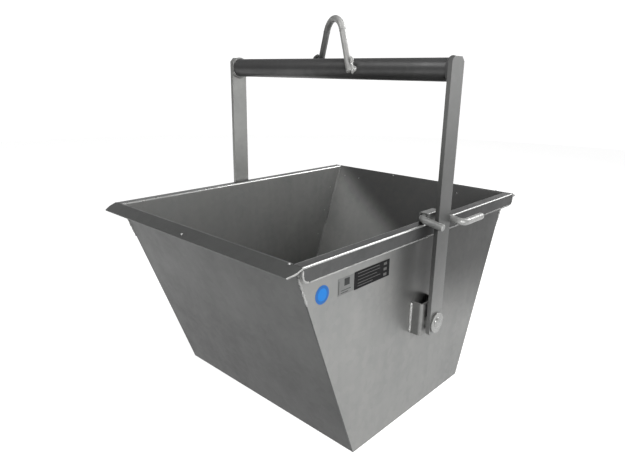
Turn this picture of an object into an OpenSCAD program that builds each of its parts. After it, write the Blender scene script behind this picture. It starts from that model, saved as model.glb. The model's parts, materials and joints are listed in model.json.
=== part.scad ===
// Tipping concrete bucket: a folded and welded sheet-steel tub that hangs by two
// pivot pins in a flat-bar bail, with a flip latch that holds the bail upright.
// X runs along the pivot axis, -Y is the front, +Z is up, and the floor's underside is at zero.

/* [Tub] */
// Height of the tub up to its rim
tub_h = 500; // [400:5:650]
// Length of the mouth, front to back
mouth_len = 840; // [700:10:1000]
// Length of the floor, front to back
floor_len = 460; // [300:10:600]
// Width over the side sheets
tub_w = 610; // [500:10:800]
// Thickness of the tub's sheet
sheet_t = 4; // [3:0.5:5]
// Inside radius of the sheet's bends
bend_r = 1; // [0.5:0.5:3]
// Leg length of the fillet welds in the tub
weld_leg = 6; // [3:0.5:8]

/* [Rim] */
// Width of the pouring lips at the front and back
lip_w = 35; // [25:1:50]
// How far the lip's clipped corner runs along the lip
lip_clip_len = 8; // [2:1:12]
// How far the lip's clipped corner runs across the lip
lip_clip_w = 17; // [5:1:20]
// Width of the side flanges outside the side sheets
flange_w = 23; // [18:1:28]
// Height of the skirt under the side flanges
skirt_h = 32; // [20:1:50]
// Radius of the skirt's lower corners
skirt_corner_r = 14; // [4:1:18]

/* [Pivots] */
// Height of the pivot axis
pivot_h = 260; // [200:5:320]
// Diameter of the pivot pins
pin_d = 25; // [16:1:30]
// Diameter of the pins' round heads
pin_head_d = 50; // [36:1:60]
// Thickness of the pins' heads
pin_head_t = 5; // [3:0.5:8]
// Diameter of the pin's end that stands out of its head
pin_boss_d = 26; // [16:1:34]
// How far the pin's end stands out of its head
pin_boss_t = 3; // [1:0.5:6]
// Width of the pivot channels, front to back
channel_w = 66; // [50:1:90]
// Depth of the pivot channels from the side sheet
channel_depth = 31; // [27:1:45]
// Height of the pivot channels
channel_h = 80; // [60:1:120]
// Wall of the pivot channels
channel_t = 5; // [3:0.5:8]
// Inside radius of the channels' bends
channel_bend_r = 4; // [1:0.5:8]
// How far a channel's middle lies above the pivot axis
channel_rise = 8; // [0:1:12]
// Leg length of the channels' welds
channel_weld_leg = 5; // [3:0.5:8]
// Outer diameter of the spacers between channel and arm
spacer_d = 42; // [34:1:50]
// Thickness of the spacers
spacer_t = 8.1; // [5:0.1:14]

/* [Bail] */
// Height of the arms' tops above the floor
bail_h = 853; // [800:1:1000]
// Width of the flat-bar arms
arm_w = 50; // [40:1:70]
// Thickness of the flat-bar arms
arm_t = 10; // [8:1:16]
// Length of the arms below the pivot axis
arm_tail = 27; // [26:1:45]
// Chamfer of the arms' top corners
arm_chamfer = 10; // [3:1:15]
// Diameter of the crossbar tube
crossbar_d = 48.3; // [38:0.1:50]
// Wall of the crossbar tube
crossbar_wall = 3.2; // [2:0.1:6]
// Depth of the crossbar's axis below the arms' tops
crossbar_drop = 27; // [25:1:40]
// Leg length of the crossbar's welds
crossbar_weld_leg = 4.5; // [3:0.5:8]

/* [Lifting eye] */
// Diameter of the eye's round bar
eye_bar_d = 16; // [12:1:20]
// Height of the bar's middle at the eye's top over the crossbar's axis
eye_rise = 114; // [100:1:160]
// Radius of the eye's top bend at the bar's middle
eye_bend_r = 48; // [36:1:56]
// Distance from the eye's middle to each foot
eye_half_foot = 86; // [80:1:110]
// Depth of the feet below the crossbar's axis
eye_foot_drop = 6; // [2:1:14]
// How far the eye sits off the crossbar's middle
eye_shift = 18; // [0:1:30]
// Radius of the weld beads at the eye's feet
eye_bead_r = 7; // [5:0.5:9]

/* [Latch] */
// Diameter of the latch's round bar
rod_d = 16; // [12:1:16]
// Distance between the latch's two legs
leg_spread = 74; // [70:1:90]
// Bend radius at the guide, at the bar's middle
rod_bend_r = 11; // [10:1:14]
// Bend radius at the handle, at the bar's middle
handle_bend_r = 16; // [12:1:24]
// Reach of the handle from the latch's axis
handle_reach = 65; // [60:1:80]
// Length of the handle past the leg
handle_len = 88; // [50:1:120]
// Slope of the closed latch's legs
leg_slope = 9.8; // [6:0.1:11]
// How far the latch's axis lies outside the rim's middle
rod_offset = 1.5; // [0:0.1:2]
// Height of the latch's axis above the rim
rod_rise = 11; // [10.6:0.1:14]
// Wall of the latch guide
guide_t = 3.5; // [2.5:0.5:4]
// Gap between the front leg's end and the arm's inner face
prong_gap = 2; // [1:0.5:4]

/* [Labels] */
// Diameter of the round sticker
sticker_d = 38; // [25:1:45]
// Depth of the labels' middles below the rim
label_drop = 80; // [70:1:110]
// Distance of the sticker's middle from the mouth's front end
sticker_inset = 75; // [70:1:85]
// Distance of the pale label from the mouth's front end
label_inset = 120; // [110:1:130]
// Length of the pale label
pale_len = 48; // [30:1:50]
// Height of the pale label
pale_h = 36; // [20:1:50]
// Length of the dark data plate
plate_len = 118; // [80:1:130]
// Height of the dark data plate
plate_h = 38; // [30:1:60]
// Gap between the two labels
label_gap = 2; // [1:0.5:6]
// Thickness of the sticker and the pale label
sticker_t = 0.4; // [0.2:0.1:0.8]
// Thickness of the data plate
plate_t = 1; // [0.5:0.1:2]

/* [Clearances] */
// Radial running clearance of the pins in their bores
pin_clear = 0.05; // [0.02:0.01:0.1]
// End play between the arms and what lies beside them
arm_play = 0.3; // [0.2:0.1:0.6]
// Gap between the eye's feet and the crossbar
eye_clear = 0.05; // [0.02:0.01:0.2]
// Clearance around the latch's bar in its guide
rod_clear = 0.3; // [0.2:0.1:0.5]

/* [Hidden] */
$fn = 64;

// One overrun serves every cut
over = 1;
arc_steps = 6;

galvanised = [0.62, 0.64, 0.65];
bar_zinc = [0.55, 0.57, 0.58];
bead_zinc = [0.70, 0.72, 0.73];
sticker_blue = [0.10, 0.45, 0.80];
plate_black = [0.08, 0.08, 0.09];
label_grey = [0.72, 0.74, 0.75];

// The front wall leans outwards by this angle
lean = atan((mouth_len - floor_len) / 2 / tub_h);
wall_len = tub_h / cos(lean);
side_out = tub_w / 2;
side_in = side_out - sheet_t;
flange_out = side_out + flange_w;
bend_out_r = bend_r + sheet_t;
// Half length of the floor between the front and back sheets, at its underside and at its top
floor_half = floor_len / 2 - sheet_t / cos(lean);
floor_half_top = floor_half + sheet_t * tan(lean);

channel_out = side_out + channel_depth;
channel_bend_out_r = channel_bend_r + channel_t;
channel_base = pivot_h + channel_rise - channel_h / 2;
arm_in = channel_out + spacer_t + arm_play;
arm_out = arm_in + arm_t;
pin_r = pin_d / 2;
// Corner break of the arms' lower ends and of the pins' heads
arm_foot_share = 0.5;
arm_foot_chamfer = arm_chamfer * arm_foot_share;
head_break_share = 0.33;
pin_head_break = pin_head_t * head_break_share;

crossbar_r = crossbar_d / 2;
crossbar_h = bail_h - crossbar_drop;
eye_r = eye_bar_d / 2;
// The eye's legs are tangent to its top bend, in the eye's own upright plane
eye_centre_h = eye_rise - eye_bend_r;
eye_foot_dist = norm([eye_half_foot, eye_centre_h + eye_foot_drop]);
eye_tangent = acos(eye_bend_r / eye_foot_dist) - atan((eye_centre_h + eye_foot_drop) / eye_half_foot);
eye_leg_len = sqrt(pow(eye_foot_dist, 2) - pow(eye_bend_r, 2));
// The eye is turned about the upright so that one foot lies before the crossbar and one behind
eye_half_at_axis = eye_half_foot - eye_foot_drop * tan(eye_tangent);
eye_seat = crossbar_r + eye_r + eye_clear;
eye_flare = tan(eye_tangent) * eye_seat / eye_half_at_axis;
eye_turn = asin(eye_seat * sqrt(1 + pow(eye_flare, 2)) / eye_half_at_axis);

// The legs start inside the bend and are a hair thinner than it
eye_lap_share = 0.125;
eye_lap = eye_r * eye_lap_share;
eye_draw = eye_clear;

rod_r = rod_d / 2;
rod_x = (side_in + flange_out) / 2 + rod_offset;
rod_h = tub_h + rod_rise;
guide_in_half = rod_r + rod_clear;
guide_out_half = guide_in_half + guide_t;
guide_top = rod_h + guide_in_half + guide_t;
guide_bend_r = guide_t + rod_clear;
guide_len = leg_spread - 2 * rod_bend_r - 2 * rod_clear;
// Labels hang below the rim, in a row from the mouth's front end
label_h = tub_h - label_drop;
pale_front = label_inset - mouth_len / 2;
plate_front = pale_front + pale_len + label_gap;
sticker_y = sticker_inset - mouth_len / 2;

// The front leg stops short of the arm, so that the bail can swing to the front
prong_reach = (arm_in - prong_gap - rod_x - rod_r * sin(leg_slope)) / cos(leg_slope);

// Points of an arc about a centre
function arc(centre, r, from, to) =
    [for (i = [0 : arc_steps]) centre + r * [cos(from + (to - from) * i / arc_steps),
        sin(from + (to - from) * i / arc_steps)]];

// Extrudes an outline given in Y and Z along X, centred
module along_x(length) {
    rotate([90, 0, 90]) linear_extrude(length, center = true) children();
}

// Extrudes an outline given in X and Z along Y, centred
module along_y(length) {
    rotate([90, 0, 0]) linear_extrude(length, center = true) children();
}

// Cylinder along X between two places
module x_rod(r, from, to) {
    translate([from, 0, 0]) rotate([0, 90, 0]) cylinder(r = r, h = to - from);
}

// Stands on the front sheet's top outer edge: Y points into the tub, Z up along the wall
module front_frame() {
    translate([0, -mouth_len / 2, tub_h]) rotate([lean, 0, 0]) children();
}

module above(height) {
    translate([-mouth_len, -mouth_len, height]) cube([2 * mouth_len, 2 * mouth_len, tub_h + lip_w]);
}

// The front wall and its lip, bent square from one sheet
module lipped_sheet() {
    intersection() {
        front_frame() union() {
            along_x(2 * side_in) polygon(concat(
                [[sheet_t, -wall_len - lip_w]],
                arc([sheet_t - bend_out_r, -bend_out_r], bend_out_r, 0, 90),
                [[-lip_w, 0], [-lip_w, -sheet_t]],
                arc([-bend_r, -sheet_t - bend_r], bend_r, 90, 0),
                [[0, -wall_len - lip_w]]));
            translate([0, 0, -sheet_t]) linear_extrude(sheet_t) polygon([
                [-flange_out, 0],
                [-flange_out, lip_clip_w - lip_w],
                [lip_clip_len - flange_out, -lip_w],
                [flange_out - lip_clip_len, -lip_w],
                [flange_out, lip_clip_w - lip_w],
                [flange_out, 0]]);
        }
        above(0);
    }
}

// Space that the front lip takes outside the front wall's plane
module lip_room() {
    front_frame() translate([-flange_out - over, -lip_w - over, -sheet_t])
        cube([2 * (flange_out + over), lip_w + over, sheet_t + lip_w]);
}

// Outline of the tub's end, at the outer faces of front, floor and back
module end_outline() {
    polygon([[-floor_len / 2, 0], [floor_len / 2, 0], [mouth_len / 2, tub_h], [-mouth_len / 2, tub_h]]);
}

// Side sheet's top seen from the front: wall, flange and skirt as one bent strip
module rim_outline() {
    skirt_in = flange_out - sheet_t;
    flange_under = tub_h - sheet_t;
    polygon(concat(
        [[side_out, tub_h - skirt_h]],
        arc([side_out + bend_r, flange_under - bend_r], bend_r, 180, 90),
        arc([skirt_in - bend_r, flange_under - bend_r], bend_r, 90, 0),
        [[skirt_in, tub_h - skirt_h], [flange_out, tub_h - skirt_h]],
        arc([flange_out - bend_out_r, tub_h - bend_out_r], bend_out_r, 0, 90),
        arc([side_in + bend_out_r, tub_h - bend_out_r], bend_out_r, 90, 180),
        [[side_in, tub_h - skirt_h]]));
}

// The rim's rounded top, filled below, for what is coped to it
module rim_cap() {
    polygon(concat(
        [[side_in, tub_h - skirt_h], [flange_out, tub_h - skirt_h]],
        arc([flange_out - bend_out_r, tub_h - bend_out_r], bend_out_r, 0, 90),
        arc([side_in + bend_out_r, tub_h - bend_out_r], bend_out_r, 90, 180)));
}

// Rounds the skirt's lower corner at its back end
module skirt_corner() {
    corner = [mouth_len / 2 - skirt_corner_r, tub_h - skirt_h + skirt_corner_r];
    translate([flange_out - sheet_t / 2, 0, 0]) along_x(2 * sheet_t) difference() {
        translate(corner - [0, skirt_corner_r + over]) square(skirt_corner_r + over);
        translate(corner) circle(skirt_corner_r);
    }
}

module side_sheet() {
    difference() {
        union() {
            intersection() {
                translate([side_out - sheet_t / 2, 0, 0]) along_x(sheet_t) end_outline();
                translate([0, -mouth_len, 0]) cube([side_out, 2 * mouth_len, tub_h - skirt_h / 2]);
            }
            intersection() {
                along_y(mouth_len) rim_outline();
                union() {
                    along_x(2 * flange_out) end_outline();
                    translate([side_out, -mouth_len, 0])
                        cube([flange_w + over, 2 * mouth_len, tub_h + over]);
                }
            }
        }
        lip_room();
        mirror([0, 1, 0]) lip_room();
        skirt_corner();
        mirror([0, 1, 0]) skirt_corner();
    }
}

// Fillet weld down the inside corner between the front sheet and the right side sheet
module corner_weld() {
    intersection() {
        front_frame() translate([0, 0, -wall_len - lip_w])
            linear_extrude(wall_len + lip_w - bend_out_r)
                polygon([[side_in, sheet_t], [side_in - weld_leg, sheet_t], [side_in, sheet_t + weld_leg]]);
        above(sheet_t);
    }
}

module front_floor_weld() {
    along_x(2 * (side_in - weld_leg)) polygon([
        [-floor_half_top, sheet_t],
        [weld_leg - floor_half_top, sheet_t],
        [-floor_half_top - weld_leg * sin(lean), sheet_t + weld_leg * cos(lean)]]);
}

module side_floor_weld() {
    along_y(2 * (floor_half_top - 2 * weld_leg)) polygon([
        [side_in, sheet_t], [side_in - weld_leg, sheet_t], [side_in, sheet_t + weld_leg]]);
}

// U-shaped channel that carries the pivot pin clear of the rim
module pivot_channel() {
    half = channel_w / 2;
    half_in = half - channel_t;
    web_in = channel_out - channel_t;
    difference() {
        translate([0, 0, channel_base]) linear_extrude(channel_h) polygon(concat(
            [[side_out, -half]],
            arc([channel_out - channel_bend_out_r, channel_bend_out_r - half], channel_bend_out_r, -90, 0),
            arc([channel_out - channel_bend_out_r, half - channel_bend_out_r], channel_bend_out_r, 0, 90),
            [[side_out, half], [side_out, half_in]],
            arc([web_in - channel_bend_r, half_in - channel_bend_r], channel_bend_r, 90, 0),
            arc([web_in - channel_bend_r, channel_bend_r - half_in], channel_bend_r, 0, -90),
            [[side_out, -half_in]]));
        translate([0, 0, pivot_h]) x_rod(pin_r + pin_clear, web_in - over, channel_out + over);
    }
}

// Upright fillet welds along both legs of a pivot channel
module channel_welds() {
    for (side = [-1, 1])
        translate([side_out, side * channel_w / 2, channel_base]) scale([1, side, 1])
            linear_extrude(channel_h) polygon([[0, 0], [channel_weld_leg, 0], [0, channel_weld_leg]]);
}

module pivot_spacer() {
    translate([0, 0, pivot_h]) difference() {
        x_rod(spacer_d / 2, channel_out, channel_out + spacer_t);
        x_rod(pin_r + pin_clear, channel_out - over, channel_out + spacer_t + over);
    }
}

// Pin with a flat round head, its end standing a little out of the head
module pivot_pin() {
    head_in = arm_out + arm_play;
    head_out = head_in + pin_head_t;
    translate([0, 0, pivot_h]) {
        x_rod(pin_r, side_out, head_in + pin_head_t / 2);
        x_rod(pin_head_d / 2, head_in, head_out - pin_head_break);
        translate([head_out - pin_head_break, 0, 0]) rotate([0, 90, 0])
            cylinder(r1 = pin_head_d / 2, r2 = pin_head_d / 2 - pin_head_break, h = pin_head_break);
        x_rod(pin_boss_d / 2, head_in, head_out + pin_boss_t);
    }
}

// Flat-bar arm with its pivot bore
module arm() {
    half = arm_w / 2;
    foot = pivot_h - arm_tail;
    difference() {
        translate([arm_in + arm_t / 2, 0, 0]) along_x(arm_t) polygon([
            [-half + arm_foot_chamfer, foot], [half - arm_foot_chamfer, foot],
            [half, foot + arm_foot_chamfer], [half, bail_h - arm_chamfer],
            [half - arm_chamfer, bail_h], [arm_chamfer - half, bail_h],
            [-half, bail_h - arm_chamfer], [-half, foot + arm_foot_chamfer]]);
        translate([0, 0, pivot_h]) x_rod(pin_r + pin_clear, arm_in - over, arm_out + over);
    }
}

// Fillet weld round the crossbar's end, kept within the arm's width
module crossbar_weld() {
    intersection() {
        translate([arm_in, 0, crossbar_h]) rotate([0, -90, 0]) rotate_extrude() polygon([
            [crossbar_r, 0], [crossbar_r + crossbar_weld_leg, 0], [crossbar_r, crossbar_weld_leg]]);
        translate([0, -arm_w / 2, 0]) cube([arm_in, arm_w, bail_h]);
    }
}

// Stands on the crossbar's axis under the eye, with X in the eye's upright plane
module eye_frame() {
    translate([eye_shift, 0, crossbar_h]) rotate([0, 0, -eye_turn]) children();
}

// One straight leg of the eye, in the eye's frame
module eye_leg(r) {
    translate([eye_bend_r * cos(eye_tangent), 0, eye_centre_h + eye_bend_r * sin(eye_tangent)])
        rotate([0, 180 - eye_tangent, 0]) translate([0, 0, -eye_lap])
            cylinder(r = r, h = eye_leg_len + eye_lap);
}

// Weld beads beside the foot that lies before the crossbar
module eye_foot_welds() {
    difference() {
        translate([eye_shift + eye_half_at_axis * cos(eye_turn), -crossbar_r, crossbar_h])
            x_rod(eye_bead_r, -eye_bar_d, eye_bar_d);
        translate([0, 0, crossbar_h]) x_rod(crossbar_r, -arm_in, arm_in);
        eye_frame() eye_leg(eye_r);
    }
}

// Round bar in the latch's own plane: X outwards from its axis, Y along it
module latch_bar(reach) {
    half = leg_spread / 2;
    straight = half - rod_bend_r;
    translate([reach, -half, 0]) rotate([0, -90, 0]) cylinder(r = rod_r, h = reach - rod_bend_r);
    translate([rod_bend_r, -straight, 0]) rotate([0, 0, 180])
        rotate_extrude(angle = 90) translate([rod_bend_r, 0]) circle(rod_r);
    translate([0, straight, 0]) rotate([90, 0, 0]) cylinder(r = rod_r, h = 2 * straight);
    translate([rod_bend_r, straight, 0]) rotate([0, 0, 90])
        rotate_extrude(angle = 90) translate([rod_bend_r, 0]) circle(rod_r);
    translate([rod_bend_r, half, 0]) rotate([0, 90, 0])
        cylinder(r = rod_r, h = handle_reach - handle_bend_r - rod_bend_r);
    translate([handle_reach - handle_bend_r, half + handle_bend_r, 0]) rotate([0, 0, -90])
        rotate_extrude(angle = 90) translate([handle_bend_r, 0]) circle(rod_r);
    translate([handle_reach, half + handle_len, 0]) rotate([90, 0, 0])
        cylinder(r = rod_r, h = handle_len - handle_bend_r);
}

module floor_sheet() {
    color(galvanised) along_x(2 * side_in) polygon([
        [-floor_half, 0], [floor_half, 0], [floor_half_top, sheet_t], [-floor_half_top, sheet_t]]);
}

module front_sheet() {
    color(galvanised) lipped_sheet();
}

module back_sheet() {
    color(galvanised) mirror([0, 1, 0]) lipped_sheet();
}

module right_side_sheet() {
    color(galvanised) side_sheet();
}

module left_side_sheet() {
    color(galvanised) mirror([1, 0, 0]) side_sheet();
}

module front_right_weld() {
    color(bead_zinc) corner_weld();
}

module front_left_weld() {
    color(bead_zinc) mirror([1, 0, 0]) corner_weld();
}

module back_right_weld() {
    color(bead_zinc) mirror([0, 1, 0]) corner_weld();
}

module back_left_weld() {
    color(bead_zinc) mirror([1, 0, 0]) mirror([0, 1, 0]) corner_weld();
}

module floor_welds() {
    color(bead_zinc) {
        front_floor_weld();
        mirror([0, 1, 0]) front_floor_weld();
        side_floor_weld();
        mirror([1, 0, 0]) side_floor_weld();
    }
}

module right_pivot_channel() {
    color(galvanised) pivot_channel();
}

module left_pivot_channel() {
    color(galvanised) mirror([1, 0, 0]) pivot_channel();
}

module right_channel_welds() {
    color(bead_zinc) channel_welds();
}

module left_channel_welds() {
    color(bead_zinc) mirror([1, 0, 0]) channel_welds();
}

module right_pivot_spacer() {
    color(bar_zinc) pivot_spacer();
}

module left_pivot_spacer() {
    color(bar_zinc) mirror([1, 0, 0]) pivot_spacer();
}

module right_pivot_pin() {
    color(bead_zinc) pivot_pin();
}

module left_pivot_pin() {
    color(bead_zinc) mirror([1, 0, 0]) pivot_pin();
}

// Bent strap over the latch's bar, coped to the rim that it stands on
module latch_guide() {
    color(galvanised) difference() {
        along_y(guide_len) difference() {
            polygon(concat(
                [[rod_x - guide_out_half, tub_h - bend_out_r], [rod_x + guide_out_half, tub_h - bend_out_r]],
                arc([rod_x + guide_out_half - guide_bend_r, guide_top - guide_bend_r],
                    guide_bend_r, 0, 90),
                arc([rod_x - guide_out_half + guide_bend_r, guide_top - guide_bend_r],
                    guide_bend_r, 90, 180)));
            translate([rod_x - guide_in_half, tub_h - bend_out_r - over])
                square([2 * guide_in_half, guide_top - guide_t - tub_h + bend_out_r + over]);
        }
        along_y(guide_len + over) rim_cap();
    }
}

module round_sticker() {
    color(sticker_blue) translate([0, sticker_y, label_h])
        x_rod(sticker_d / 2, side_out, side_out + sticker_t);
}

module data_plate() {
    color(plate_black) translate([side_out, plate_front, label_h - plate_h / 2])
        cube([plate_t, plate_len, plate_h]);
}

module pale_label() {
    color(label_grey) translate([side_out, pale_front, label_h - pale_h / 2])
        cube([sticker_t, pale_len, pale_h]);
}

module right_arm() {
    color(bar_zinc) arm();
}

module left_arm() {
    color(bar_zinc) mirror([1, 0, 0]) arm();
}

module crossbar_tube() {
    color(bar_zinc) translate([0, 0, crossbar_h]) difference() {
        x_rod(crossbar_r, -arm_in, arm_in);
        x_rod(crossbar_r - crossbar_wall, -arm_in - over, arm_in + over);
    }
}

module right_crossbar_weld() {
    color(bead_zinc) crossbar_weld();
}

module left_crossbar_weld() {
    color(bead_zinc) mirror([1, 0, 0]) crossbar_weld();
}

// Round bar bent to an arch, its feet on either side of the crossbar
module lifting_eye() {
    color(bead_zinc) eye_frame() {
        translate([0, 0, eye_centre_h]) rotate([90, 0, 0]) rotate([0, 0, eye_tangent])
            rotate_extrude(angle = 180 - 2 * eye_tangent) translate([eye_bend_r, 0]) circle(eye_r);
        eye_leg(eye_r - eye_draw);
        mirror([1, 0, 0]) eye_leg(eye_r - eye_draw);
    }
}

module eye_welds() {
    color(bead_zinc) {
        eye_foot_welds();
        translate([2 * eye_shift, 0, 0]) rotate([0, 0, 180]) eye_foot_welds();
    }
}

module latch_rod() {
    color(bead_zinc) translate([rod_x, 0, rod_h]) rotate([0, leg_slope, 0]) latch_bar(prong_reach);
}

floor_sheet();
front_sheet();
back_sheet();
left_side_sheet();
right_side_sheet();
front_left_weld();
front_right_weld();
back_left_weld();
back_right_weld();
floor_welds();
left_pivot_channel();
right_pivot_channel();
left_channel_welds();
right_channel_welds();
left_pivot_spacer();
right_pivot_spacer();
left_pivot_pin();
right_pivot_pin();
latch_guide();
round_sticker();
pale_label();
data_plate();
left_arm();
right_arm();
crossbar_tube();
left_crossbar_weld();
right_crossbar_weld();
lifting_eye();
eye_welds();
latch_rod();
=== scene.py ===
"""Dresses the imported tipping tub: galvanised sheet, bars, rippled welds, labels and a plain studio."""

import json
import math

import bmesh
import bpy
from mathutils import Matrix, Vector, noise
from mathutils.bvhtree import BVHTree


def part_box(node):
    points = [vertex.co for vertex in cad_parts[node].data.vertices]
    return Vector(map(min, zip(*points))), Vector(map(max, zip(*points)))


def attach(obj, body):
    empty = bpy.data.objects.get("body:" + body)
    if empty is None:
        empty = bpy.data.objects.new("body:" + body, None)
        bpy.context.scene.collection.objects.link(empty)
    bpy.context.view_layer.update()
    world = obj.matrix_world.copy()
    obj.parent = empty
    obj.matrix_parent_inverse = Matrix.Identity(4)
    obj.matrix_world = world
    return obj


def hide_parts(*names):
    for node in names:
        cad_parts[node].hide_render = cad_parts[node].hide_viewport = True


bl_info = {
    "name": "Tipping tub",
    "version": (1, 0, 0),
    "blender": (4, 5, 0),
    "location": "View3D > Sidebar > Tub",
    "description": "Dresses a galvanised tipping tub with its bail, latch, welds and labels",
    "category": "Object",
}

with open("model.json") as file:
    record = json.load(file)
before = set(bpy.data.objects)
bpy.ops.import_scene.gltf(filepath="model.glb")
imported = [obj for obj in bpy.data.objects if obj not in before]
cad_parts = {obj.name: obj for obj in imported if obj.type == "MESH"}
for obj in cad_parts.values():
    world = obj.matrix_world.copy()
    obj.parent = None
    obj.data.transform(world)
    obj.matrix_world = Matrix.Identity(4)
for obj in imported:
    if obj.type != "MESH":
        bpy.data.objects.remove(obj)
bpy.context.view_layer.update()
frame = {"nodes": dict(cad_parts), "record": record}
NODES = frame["nodes"]
BODY_OF = {n: body for body, names in frame["record"]["behaviour"]["bodies"].items() for n in names}
MM = 0.001

# Corners sharper than this stay sharp, and flatter ones shade round
ROUND_ANGLE = math.radians(40)
EASE_ANGLE = math.radians(50)
BEAD_SIDES = 12
# A face narrower than the first and shorter than the second, between two hard edges, is a sheet's cut end
CUT_EDGE_MM, END_CUT = 6.5, 0.1
SHORTEST_EASED = 6 * MM
TUB_MIDDLE = Vector((0, 0, 0.45))
INNER_SHARE = 0.6
RIM_FROM, BEND_FROM = 0.308, 0.494
# A fold's faces lean by between these, as the upward share of their normal, and face sideways by at least the last
FOLD_UP, FOLD_SIDEWAYS = (0.2, 0.98), 0.2
OUTSIDE, CUT_END, INSIDE, RIM, BEND = range(5)
JOIN_MM, FLAT_ANGLE = 0.005, math.radians(0.3)
SPIN_JOIN_MM = 0.002

# Sizes of the zinc's clouds, buckles and grit; real grit is under 1 mm, and 3 mm is the finest that shows
CLOUD_MM, BUCKLE_MM, GRIT_MM = 110, 190, 3
# Runs are 25 mm wide and ten times as tall
RUN_MM = (25, 25, 250)
# Shares of clouds, grains and runs in the mottle, and the part of its range that shows
CLOUD_SHARE, GRAIN_SHARE, RUN_SHARE = 0.62, 0.13, 0.25
MOTTLE_FROM, MOTTLE_TO = 0.3, 0.72
BUCKLE_STRENGTH, GRIT_STRENGTH, GRIT_DEPTH_MM = 0.5, 0.12, 0.3
# How much lighter handling leaves a film, and how far its roughness strays
WORN_GAIN, WORN_LIFT, ROUGH_SPAN = 1.25, 0.01, 0.08

# A bead's ripples: height of a crest, unevenness, and its change from one ripple to the next
CREST, UNEVEN, UNEVEN_STEP = 0.07, 0.12, 0.35
CUTS_PER_RIPPLE, FEWEST_CUTS, NARROWEST_END = 4, 8, 0.12


def linear(code):
    """Turns an sRGB hex colour into linear red, green, blue and alpha."""
    parts = [int(code[i:i + 2], 16) / 255 for i in (1, 3, 5)]
    return [p / 12.92 if p <= 0.04045 else ((p + 0.055) / 1.055) ** 2.4 for p in parts] + [1.0]


def colour(name, description, code):
    return bpy.props.FloatVectorProperty(
        name=name, description=description, subtype="COLOR", size=4, min=0, max=1, default=linear(code))


def length(name, description, default_mm):
    return bpy.props.FloatProperty(
        name=name, description=description, unit="LENGTH", min=0, default=default_mm * MM, precision=5)


class TubFinish(bpy.types.PropertyGroup):
    """Colours of the tub's finishes."""

    sheet_pale: colour("Pale sheet", "Brightest zinc on the sheets", "#898987")
    sheet_dull: colour("Dull sheet", "Dullest zinc on the sheets", "#7e7f7e")
    # Front and back outside: a darker copy of the sheet zinc, painted shade
    end_pale: colour("Pale end", "Brightest zinc on the front and back", "#676867")
    end_dull: colour("Dull end", "Dullest zinc on the front and back", "#5e5f5e")
    # Cut edges: lighter than the sheet zinc, a painted highlight
    edge_pale: colour("Pale edge", "Brightest zinc on cut edges", "#a6a6a4")
    edge_dull: colour("Dull edge", "Dullest zinc on cut edges", "#7b7c7b")
    # Rim and skirt: a darker copy of the sheet zinc, painted shade
    rim_pale: colour("Pale rim", "Brightest zinc on the rim and skirt", "#505050")
    rim_dull: colour("Dull rim", "Dullest zinc on the rim and skirt", "#434444")
    # Folds: much lighter than the sheet zinc, a painted highlight along each fold
    bend_pale: colour("Pale bend", "Brightest zinc along the folds", "#cacac8")
    bend_dull: colour("Dull bend", "Dullest zinc along the folds", "#b4b5b4")
    # Inner faces: a lighter copy of the sheet zinc, painted light inside the tub
    inside_pale: colour("Pale inside", "Brightest zinc inside the tub", "#8f8f8d")
    inside_dull: colour("Dull inside", "Dullest zinc inside the tub", "#808180")
    # Inside of the back: a still lighter copy, painted light
    back_pale: colour("Pale back", "Brightest zinc inside the back", "#b6b6b4")
    back_dull: colour("Dull back", "Dullest zinc inside the back", "#a6a7a6")
    # Arm at the latch: its material paints light at the ends and shade around the rim's height
    bar_pale: colour("Pale bar", "Brightest zinc on the arm at the latch", "#797978")
    bar_dull: colour("Dull bar", "Dullest zinc on the arm at the latch", "#707170")
    fitting_pale: colour("Pale fitting", "Brightest zinc on the channels, spacers and guide", "#7c7c7a")
    fitting_dull: colour("Dull fitting", "Dullest zinc on the channels, spacers and guide", "#6d6e6d")
    # Crossbar: its material paints shade on the underside
    tube_pale: colour("Pale tube", "Brightest zinc on the crossbar", "#626262")
    tube_dull: colour("Dull tube", "Dullest zinc on the crossbar", "#525252")
    # Arm away from the latch: a lighter copy of the arm zinc, painted light
    far_bar_pale: colour("Pale far bar", "Brightest zinc on the arm away from the latch", "#a6a6a4")
    far_bar_dull: colour("Dull far bar", "Dullest zinc on the arm away from the latch", "#959694")
    # Lifting eye: a very light zinc, painted light, with painted shade on its left leg from its material
    eye_pale: colour("Pale eye", "Brightest zinc on the lifting eye", "#c8c8c6")
    rod_pale: colour("Pale rod", "Brightest zinc on the latch", "#989896")
    rod_dull: colour("Dull rod", "Dullest zinc on the latch", "#7b7c7b")
    pin_pale: colour("Pale pin", "Brightest zinc on the pivot pins", "#a2a2a0")
    pin_dull: colour("Dull pin", "Dullest zinc on the pivot pins", "#7c7d7c")
    bead_pale: colour("Pale weld", "Brightest zinc on the weld beads", "#acacaa")
    bead_dull: colour("Dull weld", "Dullest zinc on the weld beads", "#707170")
    film_blue: colour("Blue film", "Round sticker", "#17528f")
    film_light: colour("Light blue film", "Middle of the round sticker", "#0c66ae")
    film_pale: colour("Pale film", "Pale label", "#5b5c5b")
    plate_black: colour("Black plate", "Painted plate", "#111112")
    print_white: colour("Print", "Plain bars printed on the plate", "#4c4c4b")
    print_dark: colour("Dark print", "Plain bars printed on the pale label", "#222323")


class TubSizes(bpy.types.PropertyGroup):
    """Small sizes that the dressing adds."""

    edge_ease: length("Edge ease", "Rounding of cut sheet and bar edges", 0.8)
    film_ease: length("Film ease", "Rounding of the labels' edges", 0.1)
    bead_pitch: length("Bead pitch", "Distance between two ripples of a weld", 4)
    prong_growth: length("Prong growth", "How far the latch's front leg runs past its solid", 33.4)
    drop_size: length("Drop size", "Radius of a frozen zinc drop", 2.4)


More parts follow.
